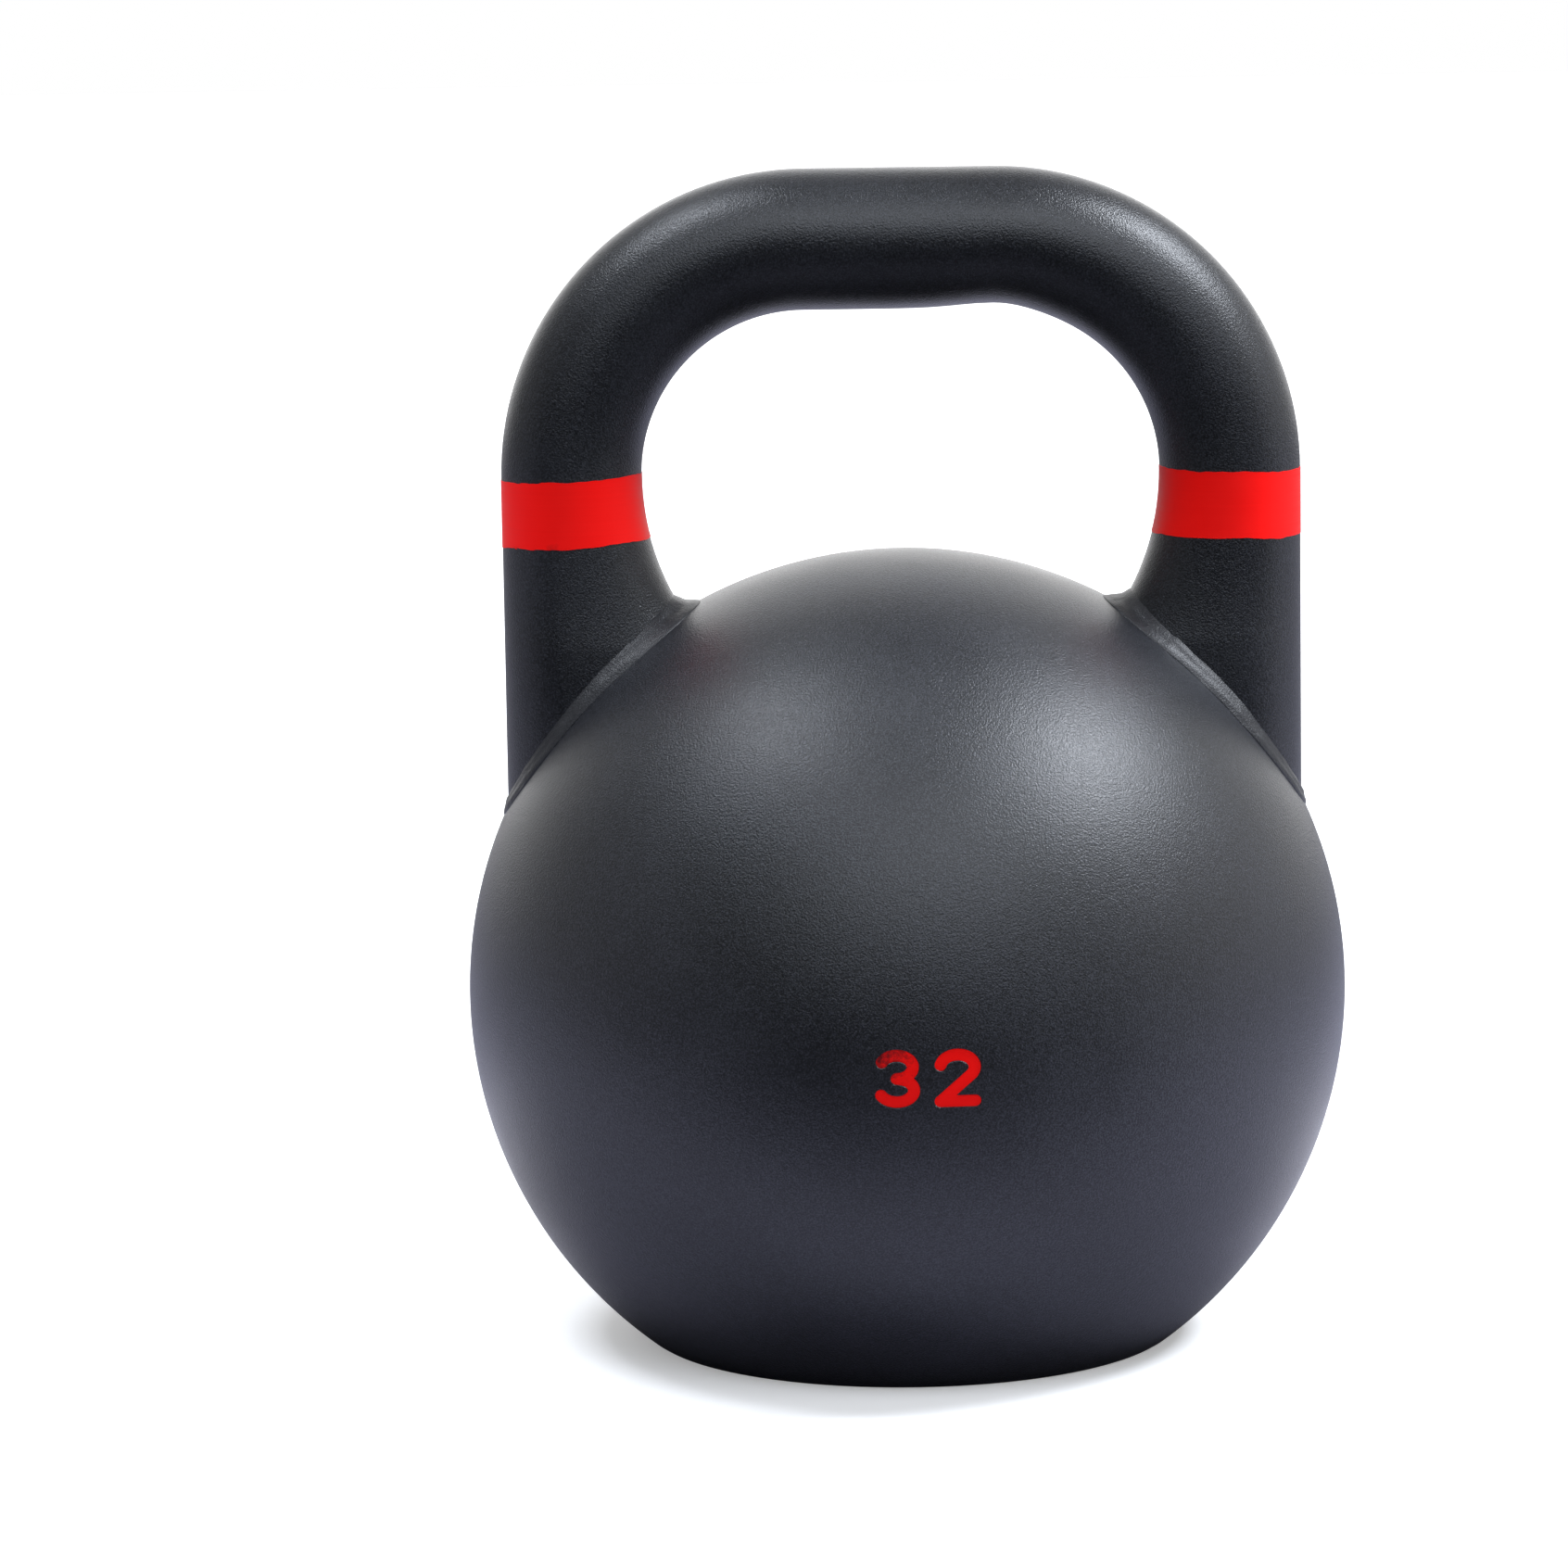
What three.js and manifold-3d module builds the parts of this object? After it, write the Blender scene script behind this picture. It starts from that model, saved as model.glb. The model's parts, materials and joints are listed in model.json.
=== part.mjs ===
// Competition kettlebell: a ball of two pressed steel halves, a bent bar handle welded on top, a welded
// flat base with a filling port, and the steel core and shot that are sealed inside for weight.
// Millimetres, +Z up, X across the handle, -Y the numbered front, origin in the middle of the flat base.
import * as THREE from "three";
import { mergeVertices } from "three/addons/utils/BufferGeometryUtils.js";
import Module from "manifold-3d";

const wasm = await Module();
wasm.setup();

// ---- Driving dimensions ----

const GAP = 0.3; // clearance between pieces that touch

const BALL_RADIUS = 105;
const BASE_RADIUS = 63; // the flat that the ball is cut off to
const BASE_CHAMFER = 0.8;
const SHELL_WALL = 8;
const SEAM_WIDTH = 10; // girth weld, at the outside
const SEAM_ROOT = 3.6; // girth weld, at the inside
const RING_WIDTH = 24; // backing ring behind the girth weld
const RING_THICKNESS = 3;

const GRIP_DIAMETER = 33.4;
const WINDOW_HEIGHT = 57.6; // clear height between the ball and the grip
const LEG_SET_IN = 10.1; // the legs' outer sides, in from the ball's widest point
const BEND_RADIUS = 55.7; // of the bar's centreline
const FLARE_RADIUS = 61; // the legs' inner sides sweep in towards the window
const FLARE_DEPTH = 40; // how far below the bend the flare goes on
const FLARE_SPREAD = 0.12; // how much of the flare also widens the leg front to back
const LEG_SINK = 8; // how far the bar runs on inside the ball before it is trimmed
const FOOT_WELD_LEG = 4.1; // the fillet weld's size along the leg and along the ball
const FOOT_WELD_BULGE = 0.7;
const FOOT_WELD_TOE = 0.5;

const BAND_HEIGHT = 15.7;
const BAND_RISES = { left: 0.35, right: 0.6 }; // from the end of the bend up to the top of the band
const BAND_TILTS = { left: 2.2, right: 1.1 }; // degrees, rising towards the window
const BAND_PROUD = 0.12;
const BAND_DEPTH = 0.5;

const BASE_RIM = 9; // the shell's flat rim outside the base plate
const PLATE_THICKNESS = 12;
const BASE_WELD_LEG = 2.6;
const BASE_WELD_SET_BACK = 0.15;
const PLUG_SHANK_RADIUS = 12.5;
const PLUG_FLANGE_RADIUS = 17;
const PLUG_FLANGE_THICKNESS = 2.5;
const PLUG_SET_BACK = 0.8; // the plug stays clear of the floor
const PLUG_SLOT_WIDTH = 3;
const PLUG_SLOT_DEPTH = 2;
const PLUG_EDGE = 0.5;
const SEAL_THICKNESS = 1.2;

const PACKING_THICKNESS = 3;
const PACKING_CLEARANCE = 1;
const CORE_FEED_CLEARANCE = 4; // the core goes in through the base opening
const CORE_BORE_RADIUS = 14;
const CORE_COVER = 7; // shot above the core's upper edge
const SHOT_CLEARANCE = 1; // the shot has settled a little away from the backing ring

const DIGIT_HEIGHT = 13.4;
const DIGIT_WIDTH = 10.6;
const DIGIT_STROKE = 2.7;
const DIGIT_SPACING = 3.2;
const DIGIT_SHIFT = 4.3; // the number stands a little right of the middle
const DIGIT_DROP = 2.4; // and a little below the ball's widest line
const DIGIT_POCKET = 0.9;
const DIGIT_SET_BACK = 0.1;

// Facets round the ball, along its meridians, round the bar and along the bar's bends, and round small pieces.
const BALL_SIDES = 48;
const MERIDIAN_STEP = 7.5; // degrees
const BAR_SIDES = 32;
const BEND_STEPS = 12;
const FLARE_STEPS = 8;
const LEG_STEPS = 3;
const INNER_SIDES = 28;
const WELD_STEPS = 40;

// ---- Sizes that follow from them ----

const ballCentreZ = Math.sqrt(BALL_RADIUS ** 2 - BASE_RADIUS ** 2);
const ballTopZ = ballCentreZ + BALL_RADIUS;
const innerRadius = BALL_RADIUS - SHELL_WALL;
const seamAngle = Math.asin(SEAM_WIDTH / 2 / BALL_RADIUS);
const rootAngle = Math.asin(SEAM_ROOT / 2 / innerRadius);

const barRadius = GRIP_DIAMETER / 2;
const gripZ = ballTopZ + WINDOW_HEIGHT + barRadius;
const bendZ = gripZ - BEND_RADIUS;
const legX = BALL_RADIUS - LEG_SET_IN - barRadius;
const legEndZ = ballCentreZ + Math.sqrt(BALL_RADIUS ** 2 - (legX + barRadius) ** 2) - LEG_SINK;

const openingRadius = BASE_RADIUS - BASE_RIM;
const plateRadius = openingRadius - GAP;
const plugTopZ = PLUG_SET_BACK + PLUG_FLANGE_THICKNESS;
const sealTopZ = plugTopZ + GAP + SEAL_THICKNESS;
const packingZ = PLATE_THICKNESS + GAP;
const fillZ = packingZ + PACKING_THICKNESS + GAP;
const fillRadius = innerRadius - GAP - RING_THICKNESS - SHOT_CLEARANCE;
const coreRadius = openingRadius - CORE_FEED_CLEARANCE;
const coreHole = coreRadius + GAP;
const coreTopZ = ballCentreZ + Math.sqrt(fillRadius ** 2 - coreHole ** 2) - CORE_COVER;

// ---- Solids ----

// A closed geometry as a manifold solid with its faces pointing out.
function solidOf(geometry) {
  const bare = geometry.clone();
  bare.deleteAttribute("normal");
  bare.deleteAttribute("uv");
  const merged = mergeVertices(bare, 1e-4);
  const index = merged.index.array;
  const faces = [];
  for (let i = 0; i < index.length; i += 3) {
    const [a, b, c] = [index[i], index[i + 1], index[i + 2]];
    if (a !== b && b !== c && c !== a) faces.push(a, b, c);
  }
  const vertProperties = merged.attributes.position.array;
  const build = (triVerts) => new wasm.Manifold(new wasm.Mesh({ numProp: 3, vertProperties, triVerts }));
  const solid = build(new Uint32Array(faces));
  return solid.volume() > 0 ? solid : build(new Uint32Array(faces.reverse()));
}

function geometryOf(solid) {
  const { vertProperties, triVerts } = solid.getMesh();
  const geometry = new THREE.BufferGeometry();
  geometry.setAttribute("position", new THREE.BufferAttribute(new Float32Array(vertProperties), 3));
  geometry.setIndex(new THREE.BufferAttribute(new Uint32Array(triVerts), 1));
  const flat = geometry.toNonIndexed();
  flat.computeVertexNormals();
  return flat;
}

// An outline of [radius, height] points turned round the Z axis.
function revolve(outline, sides) {
  const closed = [...outline, outline[0]].map(([r, z]) => new THREE.Vector2(r, z));
  return solidOf(new THREE.LatheGeometry(closed, sides).rotateX(Math.PI / 2));
}

// Points on a circle about the ball's centre, from one latitude to another.
function meridian(radius, from, to, fewest = 1) {
  const steps = Math.max(fewest, Math.ceil(THREE.MathUtils.radToDeg(Math.abs(to - from)) / MERIDIAN_STEP));
  const points = [];
  for (let i = 0; i <= steps; i++) {
    const latitude = from + ((to - from) * i) / steps;
    const r = i === steps && to === Math.PI / 2 ? 0 : radius * Math.cos(latitude);
    points.push([r, ballCentreZ + radius * Math.sin(latitude)]);
  }
  return points;
}

// The latitude where a sphere about the ball's centre meets a height.
const latitudeAt = (radius, z) => Math.asin((z - ballCentreZ) / radius);

// A whole ball with the same facets as the shells.
function ball(radius) {
  const low = meridian(radius, -latitudeAt(BALL_RADIUS, 2 * ballCentreZ), -seamAngle);
  const waist = meridian(radius, -seamAngle, seamAngle, 2).slice(1, -1);
  const high = meridian(radius, seamAngle, Math.PI / 2);
  return revolve([[0, low[0][1]], ...low, ...waist, ...high], BALL_SIDES);
}

// Rings of points joined into a skin, closed at its two ends or joined end to end.
function loft(rings, joined) {
  const sides = rings[0].length;
  const positions = rings.flat().flatMap((point) => [point.x, point.y, point.z]);
  const index = [];
  const last = joined ? rings.length : rings.length - 1;
  for (let i = 0; i < last; i++) {
    const here = i * sides;
    const next = ((i + 1) % rings.length) * sides;
    for (let j = 0; j < sides; j++) {
      const k = (j + 1) % sides;
      index.push(here + j, here + k, next + k, here + j, next + k, next + j);
    }
  }
  const end = (rings.length - 1) * sides;
  for (let j = 1; !joined && j < sides - 1; j++) {
    index.push(0, j + 1, j, end, end + j, end + j + 1);
  }
  const geometry = new THREE.BufferGeometry();
  geometry.setAttribute("position", new THREE.Float32BufferAttribute(positions, 3));
  geometry.setIndex(index);
  return solidOf(geometry);
}

// ---- Ball ----

function upperShell() {
  const outside = meridian(BALL_RADIUS, seamAngle, Math.PI / 2);
  const inside = meridian(innerRadius, rootAngle, Math.PI / 2).reverse();
  return revolve([...outside, ...inside], BALL_SIDES);
}

// The lower half stops at the flat base, where a bored opening takes the base plate.
function lowerShell() {
  const chamferTop = meridian(BALL_RADIUS, latitudeAt(BALL_RADIUS, BASE_CHAMFER), -seamAngle);
  const landZ = ballCentreZ - Math.sqrt(innerRadius ** 2 - openingRadius ** 2);
  const bevel = Math.min(BASE_WELD_LEG, 0.75 * landZ);
  const inside = meridian(innerRadius, latitudeAt(innerRadius, landZ), -rootAngle).reverse();
  const rim = [[openingRadius, bevel], [openingRadius + bevel, 0], [BASE_RADIUS - BASE_CHAMFER, 0]];
  return revolve([...rim, ...chamferTop, ...inside], BALL_SIDES);
}

function girthWeld() {
  const outer = Math.asin((SEAM_WIDTH / 2 - GAP) / BALL_RADIUS);
  const inner = Math.asin((SEAM_ROOT / 2 - GAP) / innerRadius);
  const outside = meridian(BALL_RADIUS, -outer, outer, 2);
  const inside = meridian(innerRadius, inner, -inner);
  return revolve([...outside, ...inside], BALL_SIDES);
}

function backingRing() {
  const reach = Math.asin(RING_WIDTH / 2 / innerRadius);
  const outside = meridian(innerRadius - GAP, -reach, reach);
  const inside = meridian(innerRadius - GAP - RING_THICKNESS, reach, -reach);
  return revolve([...outside, ...inside], BALL_SIDES);
}

// ---- Handle ----

// How far the leg's inner side stands in towards the window at a height.
function flareAt(z) {
  const depth = Math.min(Math.max(bendZ - z, 0), FLARE_DEPTH);
  return FLARE_RADIUS - Math.sqrt(FLARE_RADIUS ** 2 - depth ** 2);
}

// The bar's section: outward (u) and front-to-back (v) distances from its centreline.
function sectionAt(angle, flare, extra) {
  const reach = barRadius + extra + (Math.cos(angle) < 0 ? flare : 0);
  const depth = barRadius + extra + FLARE_SPREAD * flare;
  return [reach * Math.cos(angle), depth * Math.sin(angle)];
}

// Stations from the left foot over the grip to the right foot.
function barStations() {
  const gripHalf = legX - BEND_RADIUS;
  const right = [];
  for (let i = 0; i <= 2; i++) {
    right.push({ x: (gripHalf * i) / 2, z: gripZ, out: [0, 1] });
  }
  for (let i = 1; i <= BEND_STEPS; i++) {
    const turn = (Math.PI / 2) * (i / BEND_STEPS);
    const out = [Math.sin(turn), Math.cos(turn)];
    right.push({ x: gripHalf + BEND_RADIUS * out[0], z: bendZ + BEND_RADIUS * out[1], out });
  }
  const flareEndZ = bendZ - FLARE_DEPTH;
  for (let i = 1; i <= FLARE_STEPS; i++) {
    right.push({ x: legX, z: bendZ - (FLARE_DEPTH * i) / FLARE_STEPS, out: [1, 0] });
  }
  for (let i = 1; i <= LEG_STEPS; i++) {
    right.push({ x: legX, z: flareEndZ + ((legEndZ - flareEndZ) * i) / LEG_STEPS, out: [1, 0] });
  }
  const left = right.slice(1).reverse().map(({ x, z, out }) => ({ x: -x, z, out: [-out[0], out[1]] }));
  return [...left, ...right];
}

// The whole bar, thicker or thinner all round by extra.
function bar(extra) {
  const rings = barStations().map(({ x, z, out }) => {
    const ring = [];
    for (let j = 0; j < BAR_SIDES; j++) {
      const [u, v] = sectionAt((2 * Math.PI * j) / BAR_SIDES, flareAt(z), extra);
      ring.push(new THREE.Vector3(x + out[0] * u, v, z + out[1] * u));
    }
    return ring;
  });
  return loft(rings, false);
}

// A tilted slab across one leg, where its colour band is.
function bandSlab(side, extra) {
  const sign = side === "left" ? -1 : 1;
  const slab = new THREE.BoxGeometry(3 * GRIP_DIAMETER, 3 * GRIP_DIAMETER, BAND_HEIGHT + 2 * extra);
  slab.rotateY(THREE.MathUtils.degToRad(sign * BAND_TILTS[side]));
  slab.translate(sign * legX, 0, bendZ + BAND_RISES[side] - BAND_HEIGHT / 2);
  return solidOf(slab);
}

function band(side) {
  return bar(BAND_PROUD).subtract(bar(-BAND_DEPTH)).intersect(bandSlab(side, 0));
}

// The bar is trimmed to sit on the ball and turned down a little where the bands go.
function handle() {
  const neck = bar(-BAND_DEPTH - GAP);
  let body = bar(0).subtract(ball(BALL_RADIUS + GAP));
  for (const side of Object.keys(BAND_TILTS)) {
    body = body.subtract(bandSlab(side, GAP).subtract(neck));
  }
  return body;
}

// The point where the leg's side at an angle meets the ball.
function footPoint(sign, angle) {
  const at = (z) => {
    const [u, v] = sectionAt(angle, flareAt(z), 0);
    return new THREE.Vector3(sign * (legX + u), v, z);
  };
  const centre = new THREE.Vector3(0, 0, ballCentreZ);
  let [low, high] = [legEndZ, ballTopZ];
  for (let i = 0; i < 40; i++) {
    const middle = (low + high) / 2;
    if (at(middle).distanceTo(centre) < BALL_RADIUS) low = middle;
    else high = middle;
  }
  const point = at(low);
  const upLeg = at(low + 1).sub(point).normalize();
  return { at, point, upLeg, ballNormal: point.clone().sub(centre).normalize() };
}

// A fillet weld all round a foot, a small clearance off the leg and off the ball.
function footWeld(sign) {
  const feet = [];
  for (let i = 0; i < WELD_STEPS; i++) feet.push(footPoint(sign, (2 * Math.PI * i) / WELD_STEPS));
  const rings = feet.map(({ at, point, upLeg, ballNormal }, i) => {
    const before = feet[(i + WELD_STEPS - 1) % WELD_STEPS].point;
    const along = feet[(i + 1) % WELD_STEPS].point.clone().sub(before).normalize();
    const legNormal = upLeg.clone().cross(along).normalize();
    if (legNormal.dot(point.clone().sub(new THREE.Vector3(sign * legX, 0, point.z))) < 0) legNormal.negate();
    const downBall = ballNormal.clone().cross(along).normalize();
    if (downBall.dot(legNormal) < 0) downBall.negate();
    const upFace = along.clone().cross(legNormal).normalize();
    if (upFace.dot(upLeg) < 0) upFace.negate();
    const toeHeight = point.z + FOOT_WELD_LEG * upFace.z;
    const swell = Math.max(0, at(toeHeight).sub(point).dot(legNormal)); // the flare curves towards the weld
    const bisector = upFace.clone().add(downBall).normalize();
    const cosHalf = upFace.dot(bisector);
    const sinHalf = Math.sqrt(1 - cosHalf ** 2);
    const place = (offsets) => {
      const spot = point.clone();
      for (const [direction, distance] of offsets) spot.addScaledVector(direction, distance);
      return spot;
    };
    const crown = place([[bisector, FOOT_WELD_LEG * cosHalf + FOOT_WELD_BULGE]]);
    const legToe = place([[upFace, FOOT_WELD_LEG], [legNormal, GAP + swell + FOOT_WELD_TOE]]);
    const ballToe = place([[downBall, FOOT_WELD_LEG], [ballNormal, GAP + FOOT_WELD_TOE]]);
    const soften = (toe) => toe.clone().lerp(crown, 0.5).addScaledVector(bisector, FOOT_WELD_BULGE / 3);
    return [
      place([[bisector, GAP / sinHalf]]),
      place([[upFace, FOOT_WELD_LEG], [legNormal, GAP + swell]]),
      legToe,
      soften(legToe),
      crown,
      soften(ballToe),
      ballToe,
      place([[downBall, FOOT_WELD_LEG], [ballNormal, GAP]]),
    ];
  });
  return loft(rings, true);
}

// ---- Base ----

function basePlate() {
  const bevel = Math.min(BASE_WELD_LEG, PLATE_THICKNESS / 3);
  const counterbore = PLUG_FLANGE_RADIUS + GAP;
  const hole = PLUG_SHANK_RADIUS + GAP;
  const seatZ = sealTopZ + GAP;
  return revolve([
    [counterbore, 0],
    [plateRadius - bevel, 0],
    [plateRadius, bevel],
    [plateRadius, PLATE_THICKNESS],
    [hole, PLATE_THICKNESS],
    [hole, seatZ],
    [counterbore, seatZ],
  ], BALL_SIDES);
}

function baseWeld() {
  const landZ = ballCentreZ - Math.sqrt(innerRadius ** 2 - openingRadius ** 2);
  const leg = Math.min(BASE_WELD_LEG, 0.75 * landZ, PLATE_THICKNESS / 3) - GAP;
  const middle = openingRadius - GAP / 2;
  const half = leg - BASE_WELD_SET_BACK;
  return revolve([
    [middle - half, BASE_WELD_SET_BACK],
    [middle + half, BASE_WELD_SET_BACK],
    [middle, leg],
  ], BALL_SIDES);
}

function fillPlug() {
  const slot = new THREE.BoxGeometry(3 * PLUG_FLANGE_RADIUS, PLUG_SLOT_WIDTH, 2 * PLUG_SLOT_DEPTH);
  const body = revolve([
    [0, 0],
    [PLUG_FLANGE_RADIUS - PLUG_EDGE, 0],
    [PLUG_FLANGE_RADIUS, PLUG_EDGE],
    [PLUG_FLANGE_RADIUS, PLUG_FLANGE_THICKNESS],
    [PLUG_SHANK_RADIUS, PLUG_FLANGE_THICKNESS],
    [PLUG_SHANK_RADIUS, PLATE_THICKNESS - PLUG_SET_BACK],
    [0, PLATE_THICKNESS - PLUG_SET_BACK],
  ], INNER_SIDES);
  return body.subtract(solidOf(slot));
}

// A flat ring standing on z = 0.
function washer(inner, outer, thickness, sides) {
  return revolve([[inner, 0], [outer, 0], [outer, thickness], [inner, thickness]], sides);
}

// ---- Filling ----

// Loose shot lies round and over the core and fills the bore that it was poured through.
function shotFill() {
  const bore = CORE_BORE_RADIUS - GAP;
  const surface = meridian(fillRadius, latitudeAt(fillRadius, fillZ), Math.PI / 2);
  const around = [[0, fillZ], [bore, fillZ], [bore, coreTopZ + GAP], [coreHole, coreTopZ + GAP], [coreHole, fillZ]];
  return revolve([...around, ...surface], INNER_SIDES);
}

// ---- Weight number ----

// One even stroke with round ends through a row of points.
function stroke(points, width) {
  const half = width / 2;
  const headings = points.map((point, i) => {
    const from = points[Math.max(i - 1, 0)];
    const to = points[Math.min(i + 1, points.length - 1)];
    return Math.atan2(to[1] - from[1], to[0] - from[0]);
  });
  const cap = (i, start) => {
    const turns = [1, 2, 3, 4].map((k) => start - (Math.PI * k) / 5);
    return turns.map((a) => [points[i][0] + half * Math.cos(a), points[i][1] + half * Math.sin(a)]);
  };
  const side = (turn) => points.map(([x, y], i) => {
    const a = headings[i] + turn;
    return [x + half * Math.cos(a), y + half * Math.sin(a)];
  });
  const end = points.length - 1;
  const outline = [
    ...side(Math.PI / 2),
    ...cap(end, headings[end] + Math.PI / 2),
    ...side(-Math.PI / 2).reverse(),
    ...cap(0, headings[0] - Math.PI / 2),
  ];
  const shape = new THREE.Shape(outline.map(([x, y]) => new THREE.Vector2(x, y)));
  return solidOf(new THREE.ExtrudeGeometry(shape, { depth: 12, bevelEnabled: false }));
}

// Points on an ellipse, its angles in degrees.
function bow(centreY, radiusX, radiusY, from, to, steps) {
  const points = [];
  for (let i = 0; i <= steps; i++) {
    const a = THREE.MathUtils.degToRad(from + ((to - from) * i) / steps);
    points.push([radiusX * Math.cos(a), centreY + radiusY * Math.sin(a)]);
  }
  return points;
}

// The strokes of each digit, about the digit's middle.
function digitStrokes(digit) {
  const wide = (DIGIT_WIDTH - DIGIT_STROKE) / 2;
  const tall = (DIGIT_HEIGHT - DIGIT_STROKE) / 2;
  if (digit === 3) {
    const bowl = tall / 2;
    return [bow(bowl, wide * 0.94, bowl, 155, -90, 11), bow(-bowl, wide, bowl, 90, -155, 11)];
  }
  const crest = tall * 0.54;
  const top = bow(tall - crest, wide, crest, 168, -32, 10);
  return [[...top, [-wide, -tall]], [[-wide, -tall], [wide, -tall]]];
}

// A digit stood up against the front of the ball, as a bar that runs right through the surface.
function digitBar(digit, extra) {
  const place = digit === 3 ? -1 : 1;
  let body = null;
  for (const points of digitStrokes(digit)) {
    const part = stroke(points, DIGIT_STROKE + 2 * extra);
    body = body ? body.add(part) : part;
  }
  const x = DIGIT_SHIFT + (place * (DIGIT_WIDTH + DIGIT_SPACING)) / 2;
  return body.rotate([90, 0, 0]).translate([x, -BALL_RADIUS + 6, ballCentreZ - DIGIT_DROP]);
}

// The painted filling of a digit's pocket, curved to the ball.
function digit(number) {
  const layer = ball(BALL_RADIUS - DIGIT_SET_BACK).subtract(ball(BALL_RADIUS - DIGIT_POCKET + GAP));
  return digitBar(number, 0).intersect(layer);
}

const pockets = digitBar(3, GAP).add(digitBar(2, GAP)).subtract(ball(BALL_RADIUS - DIGIT_POCKET));
const engraved = (solid) => solid.subtract(pockets);

// ---- Finishes ----

const finish = (color, roughness, metalness) => ({ color, roughness, metalness });
const BLACK_COAT = finish(0x24262b, 0.55, 0.1);
const RED_PAINT = finish(0xe31212, 0.42, 0);
const BARE_STEEL = finish(0x8b8d90, 0.5, 0.9);
const SHOT = finish(0x6d6f72, 0.7, 0.7);
const RUBBER = finish(0x151515, 0.9, 0);
const FELT = finish(0x4a4642, 1, 0);

// ---- Assembly ----

function piece(name, solid, look, z = 0) {
  const mesh = new THREE.Mesh(geometryOf(solid), new THREE.MeshStandardMaterial(look));
  mesh.name = name;
  mesh.position.z = z;
  return mesh;
}

const shell = new THREE.Group();
shell.add(
  piece("upper_shell", engraved(upperShell()), BLACK_COAT),
  piece("lower_shell", engraved(lowerShell()), BLACK_COAT),
  piece("girth_weld", engraved(girthWeld()), BLACK_COAT),
  piece("seam_backing_ring", backingRing(), BARE_STEEL),
  piece("weight_digit_3", digit(3), RED_PAINT),
  piece("weight_digit_2", digit(2), RED_PAINT),
);

const grip = new THREE.Group();
grip.add(
  piece("handle", handle(), BLACK_COAT),
  piece("left_foot_weld", footWeld(-1), BLACK_COAT),
  piece("right_foot_weld", footWeld(1), BLACK_COAT),
  piece("left_band", band("left"), RED_PAINT),
  piece("right_band", band("right"), RED_PAINT),
);

const base = new THREE.Group();
base.add(
  piece("base_plate", basePlate(), BLACK_COAT),
  piece("base_weld", baseWeld(), BLACK_COAT),
  piece("fill_plug", fillPlug(), BARE_STEEL, PLUG_SET_BACK),
  piece("plug_seal", washer(PLUG_SHANK_RADIUS + GAP, PLUG_FLANGE_RADIUS - GAP, SEAL_THICKNESS, INNER_SIDES),
    RUBBER, plugTopZ + GAP),
);

const filling = new THREE.Group();
filling.add(
  piece("packing_disc", washer(CORE_BORE_RADIUS, openingRadius - PACKING_CLEARANCE, PACKING_THICKNESS, INNER_SIDES),
    FELT, packingZ),
  piece("steel_core", washer(CORE_BORE_RADIUS, coreRadius, coreTopZ - fillZ, INNER_SIDES), BARE_STEEL, fillZ),
  piece("shot_fill", shotFill(), SHOT),
);

const kettlebell = new THREE.Group();
kettlebell.add(shell, grip, base, filling);
export default kettlebell;
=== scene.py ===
"""The looks of a competition kettlebell: powder-coated ball and handle, red bands, weight number and base.

Metres, +Z up, -Y the numbered front, origin in the middle of the flat base.
"""
import json
import math
from contextlib import contextmanager

import bmesh
import bpy
from mathutils import Matrix, Vector, noise

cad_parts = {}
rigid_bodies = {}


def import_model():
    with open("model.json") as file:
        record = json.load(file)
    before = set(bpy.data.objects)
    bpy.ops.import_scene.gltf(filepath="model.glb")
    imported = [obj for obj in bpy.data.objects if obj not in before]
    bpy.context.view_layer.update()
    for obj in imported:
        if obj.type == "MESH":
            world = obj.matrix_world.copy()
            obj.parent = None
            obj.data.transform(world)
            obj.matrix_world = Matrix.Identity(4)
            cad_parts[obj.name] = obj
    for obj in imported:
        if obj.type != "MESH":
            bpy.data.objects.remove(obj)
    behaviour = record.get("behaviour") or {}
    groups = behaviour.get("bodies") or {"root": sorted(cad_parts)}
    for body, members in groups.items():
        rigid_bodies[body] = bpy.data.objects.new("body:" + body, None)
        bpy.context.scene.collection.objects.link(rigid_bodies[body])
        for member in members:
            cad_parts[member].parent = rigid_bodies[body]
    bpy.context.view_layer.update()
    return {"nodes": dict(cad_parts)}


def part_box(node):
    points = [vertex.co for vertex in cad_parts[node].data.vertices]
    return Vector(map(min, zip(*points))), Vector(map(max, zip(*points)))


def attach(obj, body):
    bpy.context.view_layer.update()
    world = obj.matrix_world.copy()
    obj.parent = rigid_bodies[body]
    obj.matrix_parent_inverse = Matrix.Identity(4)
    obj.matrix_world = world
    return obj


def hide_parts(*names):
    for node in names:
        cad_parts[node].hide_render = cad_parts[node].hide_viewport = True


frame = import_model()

MM = 0.001
GAP = 0.3 * MM
WELD_TOGETHER = 0.01 * MM

# ---- Sizes taken from the frame ----

seam_low, seam_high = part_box("girth_weld")
handle_low, handle_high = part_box("handle")
plate_low, plate_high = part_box("base_plate")
plug_low, plug_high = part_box("fill_plug")
seal_low, seal_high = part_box("plug_seal")
number_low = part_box("weight_digit_3")[0]
number_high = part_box("weight_digit_2")[1]

BALL_RADIUS = (seam_high.x - seam_low.x) / 2
BALL_Z = (seam_high.z + seam_low.z) / 2
BASE_RADIUS = math.sqrt(BALL_RADIUS**2 - BALL_Z**2)
GRIP_TOP = handle_high.z
PLATE_RADIUS = plate_high.x
OPENING_RADIUS = PLATE_RADIUS + GAP

# ---- Sizes of the visible detail ----

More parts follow.
